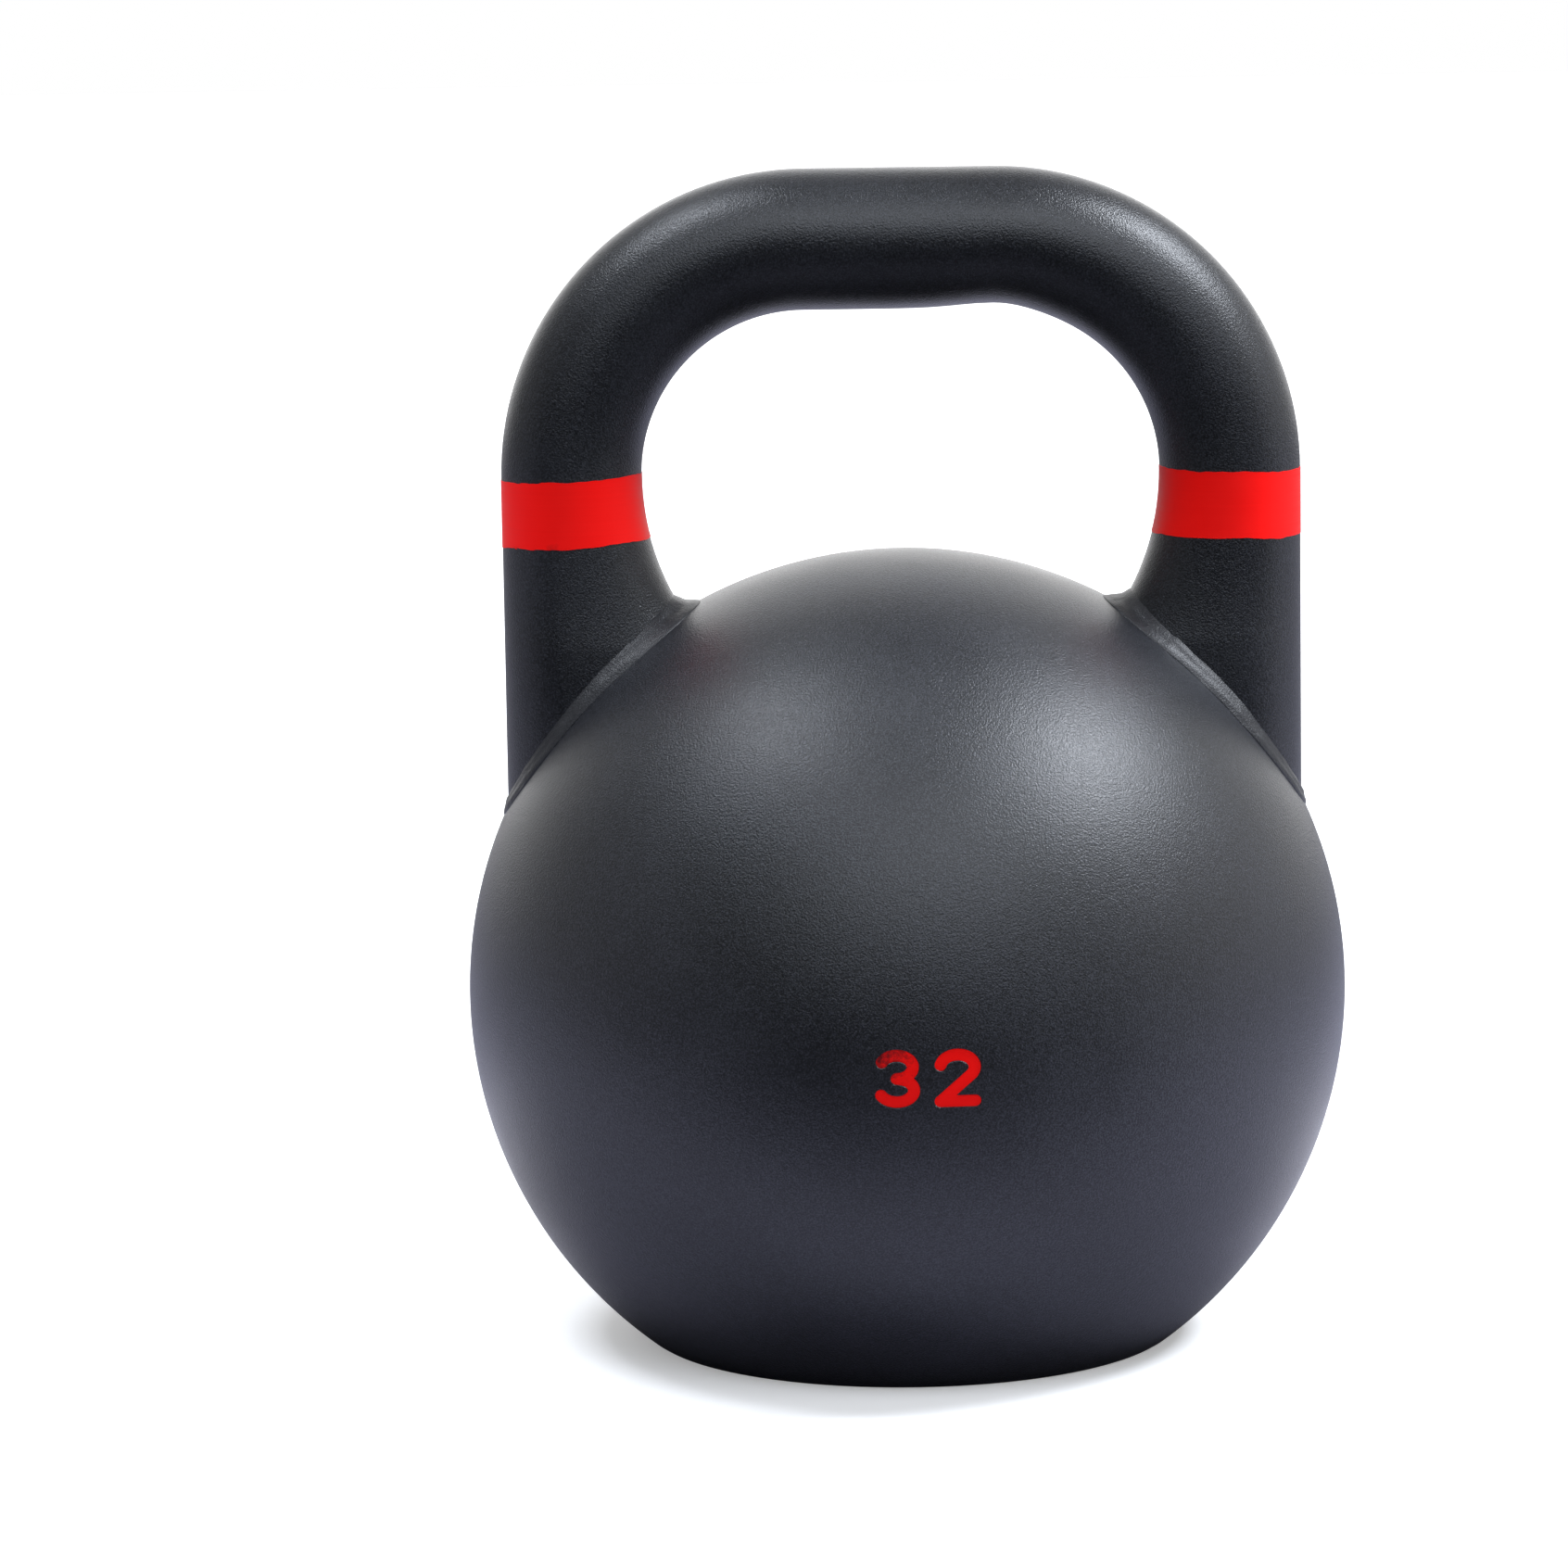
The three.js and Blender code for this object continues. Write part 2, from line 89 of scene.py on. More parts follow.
SHELL_WALL = 8 * MM
BAR_RADIUS = 16.7 * MM
BEND_RADIUS = 55.7 * MM
FLARE_RADIUS = 61 * MM
FLARE_DEPTH = 40 * MM
FLARE_SPREAD = 0.12
BAND_HEIGHT = 15.7 * MM
BAND_RISES = {-1: 0.35 * MM, 1: 0.6 * MM}  # left and right, from the end of the bend up to the band's top
BAND_TILTS = {-1: 2.2, 1: 1.1}  # degrees, rising towards the window
BAND_PROUD = 0.12 * MM
BAND_DEPTH = 0.5 * MM
DIGIT_STROKE = 2.7 * MM
DIGIT_WALL = 0.35 * MM
POCKET_DEPTH = 0.6 * MM
PAINT_DEPTH = 0.3 * MM
NUMBER_PAINT_THICKNESS = 0.2 * MM
RIM_EDGE = 0.9 * MM  # height over which the ball's rim is rounded
FOOT_SINK = 0.4 * MM  # how far inside the ball's surface the legs are cut off
BASE_GROOVE = 2.6 * MM  # the base weld's groove, across and deep, on each side of the joint
PLUG_SHANK_RADIUS = 12.5 * MM
PLUG_FLANGE = 2.5 * MM
PLUG_SLOT = (3 * MM, 2 * MM)  # width and depth
PLUG_SLOT_TURN = math.radians(24)
SEAL_WIDTH = 3.9 * MM

LEG_X = handle_high.x - BAR_RADIUS
GRIP_Z = GRIP_TOP - BAR_RADIUS
BEND_Z = GRIP_Z - BEND_RADIUS
GRIP_HALF = LEG_X - BEND_RADIUS


# ---- Working by hand: selecting, editing, finishing ----

def only(*objects):
    """Selects these objects and nothing else, the last one active."""
    for other in bpy.context.view_layer.objects:
        other.select_set(False)
    for thing in objects:
        thing.select_set(True)
        bpy.context.view_layer.objects.active = thing


@contextmanager
def editing(thing, mode="VERT"):
    only(thing)
    bpy.ops.object.mode_set(mode="EDIT")
    bpy.ops.mesh.select_mode(type=mode)
    yield
    bpy.ops.object.mode_set(mode="OBJECT")


def pick(thing, test, parts="verts"):
    """Selects the parts of the mesh being edited whose middle passes the test."""
    bpy.ops.mesh.select_all(action="DESELECT")
    mesh = bmesh.from_edit_mesh(thing.data)
    for part in getattr(mesh, parts):
        middle = part.co if parts == "verts" else sum((v.co for v in part.verts), Vector()) / len(part.verts)
        if test(middle):
            part.select_set(True)
    mesh.select_flush_mode()
    bmesh.update_edit_mesh(thing.data)


def modifier(thing, kind, **settings):
    """Adds a modifier and applies it."""
    only(thing)
    added = thing.modifiers.new(kind.title(), kind)
    for name, value in settings.items():
        setattr(added, name, value)
    bpy.ops.object.modifier_apply(modifier=added.name)


def apply_place(thing):
    only(thing)
    bpy.ops.object.transform_apply(location=True, rotation=True, scale=True)


def smooth(thing, degrees=35):
    only(thing)
    bpy.ops.object.shade_smooth_by_angle(angle=math.radians(degrees))


def finish_piece(thing, name, material, slot, *nodes):
    thing.name = thing.data.name = name
    apply_place(thing)
    thing.data.materials.clear()
    thing.data.materials.append(material)
    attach(thing, "root")
    if nodes:
        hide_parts(*nodes)
    return thing


def step_ring(spot, target):
    """Extrudes the selected ring of edges from one (radius, height) round the Z axis to the next."""
    (radius, z), (new_radius, new_z) = spot, target
    bpy.ops.mesh.extrude_region_move(TRANSFORM_OT_translate={"value": (0, 0, new_z - z)})
    factor = new_radius / radius
    bpy.ops.transform.resize(value=(factor, factor, 1), center_override=(0, 0, new_z))
    return target


def turned(outline, name, steps=128, bevel=0.0, segments=3):
    """A closed (radius, height) outline spun round the Z axis, with its edges rounded."""
    mesh = bpy.data.meshes.new(name)
    count = len(outline)
    mesh.from_pydata([(r, 0, z) for r, z in outline], [(i, (i + 1) % count) for i in range(count)], [])
    thing = bpy.data.objects.new(name, mesh)
    bpy.context.collection.objects.link(thing)
    with editing(thing):
        bpy.ops.mesh.select_all(action="SELECT")
        bpy.ops.mesh.spin(steps=steps, angle=math.tau, center=(0, 0, 0), axis=(0, 0, 1))
        bpy.ops.mesh.select_all(action="SELECT")
        bpy.ops.mesh.remove_doubles(threshold=WELD_TOGETHER)
        bpy.ops.mesh.normals_make_consistent(inside=False)
    if bevel:
        modifier(thing, "BEVEL", width=bevel, segments=segments,
                 limit_method="ANGLE", angle_limit=math.radians(30))
    smooth(thing)
    return thing


# ---- Weight number: where its strokes run on the front of the ball ----

def bow(centre, radii, start, end, steps=24):
    """Points along part of an ellipse, its angles in degrees."""
    points = []
    for i in range(steps + 1):
        angle = math.radians(start + (end - start) * i / steps)
        across, upright = radii[0] * math.cos(angle), radii[1] * math.sin(angle)
        points.append(Vector((centre[0] + across, centre[1] + upright)))
    return points


def number_strokes():
    """The middle lines of a 3 and a 2, as rows of (x, z) points."""
    low, high = number_low.z, number_high.z
    tall = (high - low - DIGIT_STROKE) / 2
    middle = (high + low) / 2
    three_low, three_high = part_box("weight_digit_3")
    two_low, two_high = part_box("weight_digit_2")
    wide = (two_high.x - two_low.x - DIGIT_STROKE) / 2
    two = (two_low.x + two_high.x) / 2
    three = three_high.x - DIGIT_STROKE / 2 - wide
    bowl = tall / 2
    crest = tall * 0.54
    corner = Vector((two - wide, middle - tall))
    return [
        bow((three, middle + bowl), (wide * 0.94, bowl), 155, -90),
        bow((three, middle - bowl), (wide, bowl), 90, -155),
        bow((two, middle + tall - crest), (wide, crest), 168, -32) + [corner],
        [corner, Vector((two + wide, middle - tall))],
    ]


def distance_to(strokes, x, z):
    """How far a point on the front is from the nearest stroke's middle line."""
    spot = Vector((x, z))
    nearest = 1.0
    for points in strokes:
        for start, end in zip(points, points[1:]):
            along = end - start
            share = max(0.0, min(1.0, (spot - start).dot(along) / along.length_squared))
            nearest = min(nearest, (spot - start - along * share).length)
    return nearest


# ---- Ball ----

BALL_CUTS = 71
PATCH_CUTS = 19
PATCH_MARGIN = 3.5 * MM


def coated_ball():
    bpy.ops.mesh.primitive_cube_add(size=2 * BALL_RADIUS)
    ball = bpy.context.object
    low, high = number_low, number_high

    def in_patch(middle):
        front = middle.y < -0.99 * BALL_RADIUS
        across = low.x - PATCH_MARGIN < middle.x < high.x + PATCH_MARGIN
        upright = low.z - BALL_Z - PATCH_MARGIN < middle.z < high.z - BALL_Z + PATCH_MARGIN
        return front and across and upright

    with editing(ball, "FACE"):
        bpy.ops.mesh.select_all(action="SELECT")
        bpy.ops.mesh.subdivide(number_cuts=BALL_CUTS)
        pick(ball, in_patch, "faces")
        bpy.ops.mesh.subdivide(number_cuts=PATCH_CUTS)
    modifier(ball, "CAST", cast_type="SPHERE", factor=1, use_radius_as_size=False, size=BALL_RADIUS)
    ball.location.z = BALL_Z
    apply_place(ball)
    sink_number(ball)
    cut_base(ball)
    line_inside(ball)
    smooth(ball, 30)
    return ball


def sink_number(ball):
    """Presses the number's strokes into the ball as pockets with rounded walls."""
    strokes = number_strokes()
    group = ball.vertex_groups.new(name="number")
    reach = DIGIT_STROKE / 2 + DIGIT_WALL / 2
    for vertex in ball.data.vertices:
        x, y, z = vertex.co
        if y > 0 or not (number_low.x - reach < x < number_high.x + reach):
            continue
        if not (number_low.z - reach < z < number_high.z + reach):
            continue
        share = (reach - distance_to(strokes, x, z)) / DIGIT_WALL
        share = max(0.0, min(1.0, share))
        if share > 0:
            group.add([vertex.index], share * share * (3 - 2 * share), "REPLACE")
    modifier(ball, "DISPLACE", strength=-POCKET_DEPTH, mid_level=0, vertex_group="number")


def cut_base(ball):
    """Cuts the ball off flat, rounds the rim's edge and opens the bore that takes the base plate."""
    spot = (math.sqrt(BALL_RADIUS**2 - (BALL_Z - RIM_EDGE) ** 2), RIM_EDGE)
    with editing(ball, "EDGE"):
        bpy.ops.mesh.select_all(action="SELECT")
        bpy.ops.mesh.bisect(
            plane_co=(0, 0, RIM_EDGE), plane_no=(0, 0, 1), clear_inner=True, threshold=0.001 * MM)
        rim = [
            (BASE_RADIUS + 0.35 * MM, 0.4 * MM),
            (BASE_RADIUS - 0.1 * MM, 0.12 * MM),
            (BASE_RADIUS - 0.7 * MM, 0),
        ]
        groove = [
            (OPENING_RADIUS + BASE_GROOVE, 0),
            (OPENING_RADIUS + BASE_GROOVE - 0.3 * MM, 0.25 * MM),
            (OPENING_RADIUS, BASE_GROOVE),
        ]
        for target in rim + groove:
            spot = step_ring(spot, target)


def line_inside(ball):
    """The shell's inner wall, joined to the bore."""
    inner = BALL_RADIUS - SHELL_WALL
    land = BALL_Z - math.sqrt(inner**2 - OPENING_RADIUS**2)
    with editing(ball, "EDGE"):
        bpy.ops.mesh.select_all(action="DESELECT")
        bpy.ops.mesh.primitive_uv_sphere_add(
            segments=96, ring_count=48, radius=inner, location=(0, 0, BALL_Z))
        bpy.ops.mesh.flip_normals()
        bpy.ops.mesh.bisect(plane_co=(0, 0, land), plane_no=(0, 0, 1), clear_inner=True)
        mesh = bmesh.from_edit_mesh(ball.data)
        for edge in mesh.edges:
            if edge.is_boundary:
                edge.select_set(True)
        bmesh.update_edit_mesh(ball.data)
        bpy.ops.mesh.bridge_edge_loops()


def number_paint(ball, x_low, x_high):
    """The paint that fills one digit's pocket, lifted off the finished ball's own facets."""
    only(ball)
    bpy.ops.object.duplicate()
    paint = bpy.context.object
    strokes = number_strokes()
    reach = DIGIT_STROKE / 2 + DIGIT_WALL * 0.35

    def outside(middle):
        if middle.y > SHELL_WALL / 2 - BALL_RADIUS or not x_low < middle.x < x_high:
            return True
        if not number_low.z - reach < middle.z < number_high.z + reach:
            return True
        return distance_to(strokes, middle.x, middle.z) > reach

    with editing(paint, "FACE"):
        pick(paint, outside, "faces")
        bpy.ops.mesh.delete(type="FACE")
    paint.data.transform(Matrix.Translation((0, 0, -BALL_Z)))
    modifier(paint, "CAST", cast_type="SPHERE", factor=1,
             use_radius_as_size=False, size=BALL_RADIUS - PAINT_DEPTH)
    modifier(paint, "SOLIDIFY", thickness=NUMBER_PAINT_THICKNESS, offset=-1)
    paint.location.z = BALL_Z
    apply_place(paint)
    return paint


# ---- Handle ----

GRIP_RISE = 1.1 * MM  # a slight rise in the grip's underside
GRIP_RISE_X = 22 * MM
GRIP_RISE_REACH = 11 * MM
BAR_SIDES = 128
GRIP_STEPS = 6
BEND_STEPS = 40
FLARE_STEPS = 18
LEG_TAIL_STEPS = 4
LEG_TAIL_STEP = 12 * MM


def flare_at(depth):
    depth = min(max(depth, 0), FLARE_DEPTH)
    return FLARE_RADIUS - math.sqrt(FLARE_RADIUS**2 - depth**2)


def bent_bar():
    """Half the bar: straight grip, quarter bend and a leg that flares towards the window, then mirrored."""
    quarter = math.pi / 2
    bpy.ops.mesh.primitive_circle_add(
        vertices=BAR_SIDES, radius=BAR_RADIUS, location=(0, 0, GRIP_Z), rotation=(0, quarter, 0))
    bar = bpy.context.object
    apply_place(bar)
    with editing(bar):
        bpy.ops.mesh.select_all(action="SELECT")
        for _ in range(GRIP_STEPS):
            bpy.ops.mesh.extrude_region_move(TRANSFORM_OT_translate={"value": (GRIP_HALF / GRIP_STEPS, 0, 0)})
        bpy.ops.mesh.spin(steps=BEND_STEPS, angle=quarter, center=(GRIP_HALF, 0, BEND_Z), axis=(0, -1, 0))
        depths = [FLARE_DEPTH * (i + 1) / FLARE_STEPS for i in range(FLARE_STEPS)]
        depths += [FLARE_DEPTH + LEG_TAIL_STEP * (i + 1) for i in range(LEG_TAIL_STEPS)]
        before = 0.0
        for depth in depths:
            bpy.ops.mesh.extrude_region_move(TRANSFORM_OT_translate={"value": (0, 0, before - depth)})
            old, new = flare_at(before), flare_at(depth)
            before = depth
            if new == old:
                continue
            through = (BAR_RADIUS + FLARE_SPREAD * new) / (BAR_RADIUS + FLARE_SPREAD * old)
            bpy.ops.transform.resize(value=(1, through, 1), center_override=(LEG_X, 0, BEND_Z - depth))
            level = BEND_Z - depth + 0.1 * MM
            pick(bar, lambda spot: spot.z < level and spot.x < LEG_X - 0.01 * MM)
            across = (BAR_RADIUS + new) / (BAR_RADIUS + old)
            bpy.ops.transform.resize(value=(across, 1, 1), center_override=(LEG_X, 0, BEND_Z - depth))
            pick(bar, lambda spot: spot.z < level)
        bpy.ops.mesh.edge_face_add()
    modifier(bar, "MIRROR", use_axis=(True, False, False), merge_threshold=WELD_TOGETHER)
    with editing(bar, "FACE"):
        bpy.ops.mesh.select_all(action="SELECT")
        bpy.ops.mesh.normals_make_consistent(inside=False)
    for vertex in bar.data.vertices:
        under = max(0.0, (GRIP_Z - vertex.co.z) / BAR_RADIUS)
        if under > 0 and abs(vertex.co.x) < 2 * GRIP_HALF:
            near = math.exp(-(((vertex.co.x - GRIP_RISE_X) / GRIP_RISE_REACH) ** 2))
            vertex.co.z += GRIP_RISE * near * min(under, 1.0)
    return bar


def trim_feet(bar):
    """Cuts the legs' ends to the ball, a little below its surface so that no light shows under the welds."""
    bpy.ops.mesh.primitive_uv_sphere_add(
        segments=192, ring_count=96, radius=BALL_RADIUS - FOOT_SINK, location=(0, 0, BALL_Z))
    cutter = bpy.context.object
    modifier(bar, "BOOLEAN", object=cutter, operation="DIFFERENCE", solver="EXACT")
    bpy.data.objects.remove(cutter)


def leg_band(bar, side):
    """The painted band on one leg: a sleeve cut out of the bar's own surface, with slightly ragged edges."""
    only(bar)
    bpy.ops.object.duplicate()
    sleeve = bpy.context.object
    tilt = math.radians(BAND_TILTS[side])
    normal = Vector((side * math.sin(tilt), 0, math.cos(tilt)))
    top = Vector((side * LEG_X, 0, BEND_Z + BAND_RISES[side]))
    bottom = top - Vector((0, 0, BAND_HEIGHT))
    with editing(sleeve, "FACE"):
        pick(sleeve, lambda middle: middle.x * side < 0.5 * LEG_X, "faces")
        bpy.ops.mesh.delete(type="FACE")
        for spot, clear in ((top, "clear_outer"), (bottom, "clear_inner")):
            bpy.ops.mesh.select_all(action="SELECT")
            bpy.ops.mesh.bisect(plane_co=spot, plane_no=normal, **{clear: True})
    for vertex in sleeve.data.vertices:
        height = (vertex.co - bottom).dot(normal)
        for level in (0, BAND_HEIGHT):
            if abs(height - level) < 0.02 * MM:
                wander = noise.noise(vertex.co * 140 + Vector((level * 900, 0, 0))) * 0.45
                wander += noise.noise(vertex.co * 520) * 0.16
                vertex.co.z += wander * MM
    modifier(sleeve, "SOLIDIFY", thickness=BAND_DEPTH, offset=-1 + 2 * BAND_PROUD / BAND_DEPTH)
    smooth(sleeve, 40)
    return sleeve


# ---- Foot welds ----

WELD_STATIONS = 260
WELD_FACE_POINTS = 14
WELD_CHORD = 4.3 * MM
WELD_CROTCH_CHORD = 6.6 * MM
WELD_CROTCH_HOLLOW = 0.55 * MM
WELD_CROWN = 0.22 * MM
WELD_STEP = 0.3 * MM


def leg_point(side, angle, z):
    """A point on a leg's surface, by its angle round the leg (0 is the outer side) and its height."""
    flare = flare_at(BEND_Z - z)
    reach = BAR_RADIUS + (flare if math.cos(angle) < 0 else 0)
    through = BAR_RADIUS + FLARE_SPREAD * flare
    return Vector((side * (LEG_X + reach * math.cos(angle)), through * math.sin(angle), z))


def on_leg(side, spot):
    """The spot moved level on to the leg's surface."""
    flare = flare_at(BEND_Z - spot.z)
    out = side * spot.x - LEG_X
    reach = BAR_RADIUS + (flare if out < 0 else 0)
    angle = math.atan2(spot.y / (BAR_RADIUS + FLARE_SPREAD * flare), out / reach)
    return leg_point(side, angle, spot.z)


def on_ball(spot, above=0.0):
    centre = Vector((0, 0, BALL_Z))
    return centre + (spot - centre).normalized() * (BALL_RADIUS + above)


def foot_line(side):
    """Where the leg's surface meets the ball's, as points round the leg."""
    points = []
    for i in range(WELD_STATIONS):
        angle = math.tau * i / WELD_STATIONS
        low, high = BALL_Z, BALL_Z + BALL_RADIUS
        for _ in range(40):
            middle = (low + high) / 2
            inside = (leg_point(side, angle, middle) - Vector((0, 0, BALL_Z))).length < BALL_RADIUS
            low, high = (middle, high) if inside else (low, middle)
        points.append((angle, leg_point(side, angle, low)))
    return points


def weld_section(side, angle, point, along):
    """The weld's outline at one place: root, toe on the leg, ground face and toe on the ball."""
    ball_normal = (point - Vector((0, 0, BALL_Z))).normalized()
    up_leg = (leg_point(side, angle, point.z + MM) - point).normalized()
    leg_normal = up_leg.cross(along).normalized()
    if leg_normal.dot(point - Vector((side * LEG_X, 0, point.z))) < 0:
        leg_normal.negate()
    up_face = along.cross(leg_normal).normalized()
    if up_face.dot(up_leg) < 0:
        up_face.negate()
    down_ball = ball_normal.cross(along).normalized()
    if down_ball.dot(leg_normal) < 0:
        down_ball.negate()
    bisector = (up_face + down_ball).normalized()
    crotch = max(0.0, -math.cos(angle)) ** 2
    chord = WELD_CHORD + (WELD_CROTCH_CHORD - WELD_CHORD) * crotch
    chord *= 1 + 0.10 * noise.noise(point * 75) + 0.05 * noise.noise(point * 260)
    leg_length = chord / (2 * math.sin(up_face.angle(down_ball) / 2))
    leg_toe = on_leg(side, point + up_face * leg_length)
    ball_toe = on_ball(point + down_ball * leg_length)
    face_normal = along.cross(ball_toe - leg_toe).normalized()
    if face_normal.dot(bisector) < 0:
        face_normal.negate()
    step = WELD_STEP * (0.8 + 0.5 * noise.noise(point * 130))
    crown = WELD_CROWN * (1 - crotch) - WELD_CROTCH_HOLLOW * crotch
    section = [point - bisector * MM, leg_toe + up_face * 0.4 * MM - leg_normal * 0.35 * MM]
    for i in range(WELD_FACE_POINTS):
        share = i / (WELD_FACE_POINTS - 1)
        spot = leg_toe.lerp(ball_toe + ball_normal * step, share)
        swell = math.sin(math.pi * share)
        rough = 0.16 * noise.noise(spot * 210) + 0.07 * noise.noise(spot * 620)
        ridge = 0.07 * math.sin(10 * share + 3 * noise.noise(point * 60))
        section.append(spot + face_normal * (crown * swell + (rough + ridge) * MM * math.sqrt(swell)))
    section.append(on_ball(ball_toe + down_ball * 0.1 * MM, 0.05 * MM))
    section.append(on_ball(ball_toe + down_ball * 0.15 * MM, -0.5 * MM))
    return section


def foot_weld(side):
    """A hand-laid fillet, ground nearly flat: uneven, blended into the leg, with a small step on the ball."""
    line = foot_line(side)
    count = len(line)
    rows = []
    for i, (angle, point) in enumerate(line):
        along = (line[(i + 1) % count][1] - line[i - 1][1]).normalized()
        rows.append(weld_section(side, angle, point, along))
    width = len(rows[0])
    faces = []
    for i in range(count):
        following = (i + 1) % count
        for j in range(width):
            beside = (j + 1) % width
            here, there = i * width, following * width
            faces.append((here + j, there + j, there + beside, here + beside))
    mesh = bpy.data.meshes.new("weld")
    mesh.from_pydata([spot for row in rows for spot in row], [], faces)
    bead = bpy.data.objects.new("weld", mesh)
    bpy.context.collection.objects.link(bead)
    with editing(bead, "FACE"):
        bpy.ops.mesh.select_all(action="SELECT")
        bpy.ops.mesh.normals_make_consistent(inside=False)
    smooth(bead, 50)
    return bead


# ---- Base ----

def base_plate():
    plug_hole = plug_high.x + GAP
    bore = PLUG_SHANK_RADIUS + GAP
    seat = seal_high.z + GAP
    return turned([
        (plug_hole, 0), (PLATE_RADIUS - BASE_GROOVE, 0),
        (PLATE_RADIUS, BASE_GROOVE), (PLATE_RADIUS, plate_high.z),
        (bore, plate_high.z), (bore, seat), (plug_hole, seat),
    ], "plate", 160, 0.35 * MM)


def base_weld():
    """The weld round the base plate, ground nearly flush, its face a little wavy."""
    middle = OPENING_RADIUS - GAP / 2
    ring = turned([
        (middle - 2.7 * MM, 0.12 * MM), (middle, 0.06 * MM), (middle + 2.7 * MM, 0.12 * MM),
        (middle + 0.4 * MM, 2.8 * MM), (middle - 0.4 * MM, 2.8 * MM),
    ], "ring", 320, 0.2 * MM, 2)
    ripple = bpy.data.textures.new("weld ripple", "CLOUDS")
    ripple.noise_scale = 4 * MM
    modifier(ring, "DISPLACE", texture=ripple, strength=0.12 * MM, mid_level=1.0, direction="NORMAL")
    return ring


def fill_plug():
    flange = plug_high.x
    z = plug_low.z
    plug = turned([
        (0, z), (flange - 0.7 * MM, z), (flange, z + 0.5 * MM), (flange, z + PLUG_FLANGE),
        (PLUG_SHANK_RADIUS, z + PLUG_FLANGE), (PLUG_SHANK_RADIUS, plug_high.z), (0, plug_high.z),
    ], "plug", 96)
    bpy.ops.mesh.primitive_cube_add(size=1, location=(0, 0, z), rotation=(0, 0, PLUG_SLOT_TURN))
    cutter = bpy.context.object
    slot_width, slot_depth = PLUG_SLOT
    cutter.scale = (3 * flange, slot_width, 2 * slot_depth)
    modifier(plug, "BOOLEAN", object=cutter, operation="DIFFERENCE", solver="EXACT")
    bpy.data.objects.remove(cutter)
    modifier(plug, "BEVEL", width=0.2 * MM, segments=2, limit_method="ANGLE", angle_limit=math.radians(35))
    smooth(plug, 30)
    return plug


def plug_seal():
    inner = seal_high.x - SEAL_WIDTH
    return turned([
        (inner, seal_low.z), (seal_high.x, seal_low.z), (seal_high.x, seal_high.z), (inner, seal_high.z),
    ], "seal", 96, 0.3 * MM)


# ---- Shader groups that several finishes share ----

def new_group(name, inputs, outputs):
    group = bpy.data.node_groups.new(name, "ShaderNodeTree")
    for label, kind, value in inputs:
        socket = group.interface.new_socket(label, in_out="INPUT", socket_type=kind)
        if value is not None:
            socket.default_value = value
    for label, kind in outputs:
        group.interface.new_socket(label, in_out="OUTPUT", socket_type=kind)
    start = group.nodes.new("NodeGroupInput")
    end = group.nodes.new("NodeGroupOutput")
    return group, start, end


def node(tree, kind, inputs=(), **settings):
    """Adds a node, sets its properties, and sets or links its inputs."""
    made = tree.nodes.new(kind)
    for name, value in settings.items():
        setattr(made, name, value)
    for key, value in dict(inputs).items():
        if isinstance(value, bpy.types.NodeSocket):
            tree.links.new(value, made.inputs[key])
        else:
            made.inputs[key].default_value = value
    return made


def noise_at(tree, vector, scale, detail=2.0, roughness=0.5):
    return node(tree, "ShaderNodeTexNoise",
                {"Vector": vector, "Scale": scale, "Detail": detail, "Roughness": roughness}).outputs["Fac"]


def spread(tree, value, low, high, new_low=0.0, new_high=1.0):
    """Stretches a value's range on to another."""
    made = node(tree, "ShaderNodeMapRange", {
        "Value": value, "From Min": low, "From Max": high, "To Min": new_low, "To Max": new_high})
    return made.outputs["Result"]


def math_node(tree, operation, first, second=0.0):
    return node(tree, "ShaderNodeMath", {0: first, 1: second}, operation=operation).outputs[0]


def blend_colours(tree, share, first, second, how="MIX"):
    made = node(tree, "ShaderNodeMix", data_type="RGBA", blend_type=how)
    for socket, value in ((made.inputs[0], share), (made.inputs[6], first), (made.inputs[7], second)):
        if isinstance(value, bpy.types.NodeSocket):
            tree.links.new(value, socket)
        else:
            socket.default_value = value
    return made.outputs[2]


def powder_grain():
    """The fine orange-peel texture of powder coat: a height, a fine fleck and a broad unevenness."""
    group, start, end = new_group("powder grain", [
        ("Vector", "NodeSocketVector", None),
        ("Grain Size", "NodeSocketFloat", 1.0),
    ], [("Height", "NodeSocketFloat"), ("Fleck", "NodeSocketFloat"), ("Broad", "NodeSocketFloat")])
    scaled = node(group, "ShaderNodeVectorMath", {0: start.outputs["Vector"]}, operation="SCALE")
    group.links.new(start.outputs["Grain Size"], scaled.inputs["Scale"])
    place = scaled.outputs[0]
    peel = noise_at(group, place, 1700, 2, 0.6)
    fine = noise_at(group, place, 2600, 1, 0.6)
    broad = noise_at(group, start.outputs["Vector"], 26, 3, 0.5)
    half_peel = math_node(group, "MULTIPLY", peel, 0.5)
    half_fine = math_node(group, "MULTIPLY", fine, 0.5)
    height = math_node(group, "ADD", half_peel, half_fine)
    group.links.new(height, end.inputs["Height"])
    group.links.new(fine, end.inputs["Fleck"])
    group.links.new(broad, end.inputs["Broad"])
    return group


POWDER = powder_grain()


def new_material(name):
    material = bpy.data.materials.new(name)
    material.use_nodes = True
    tree = material.node_tree
    shader = tree.nodes["Principled BSDF"]
    place = tree.nodes.new("ShaderNodeTexCoord").outputs["Object"]
    return material, tree, shader, place


def use_group(tree, group, **inputs):
    made = tree.nodes.new("ShaderNodeGroup")
    made.node_tree = group
    for label, value in inputs.items():
        socket = made.inputs[label.replace("_", " ")]
        if isinstance(value, bpy.types.NodeSocket):
            tree.links.new(value, socket)
        else:
            socket.default_value = value
    return made


def bump(tree, shader, height, strength, distance):
    made = node(tree, "ShaderNodeBump", {"Height": height, "Strength": strength, "Distance": distance})
    tree.links.new(made.outputs["Normal"], shader.inputs["Normal"])
    return made


# ---- Finishes ----

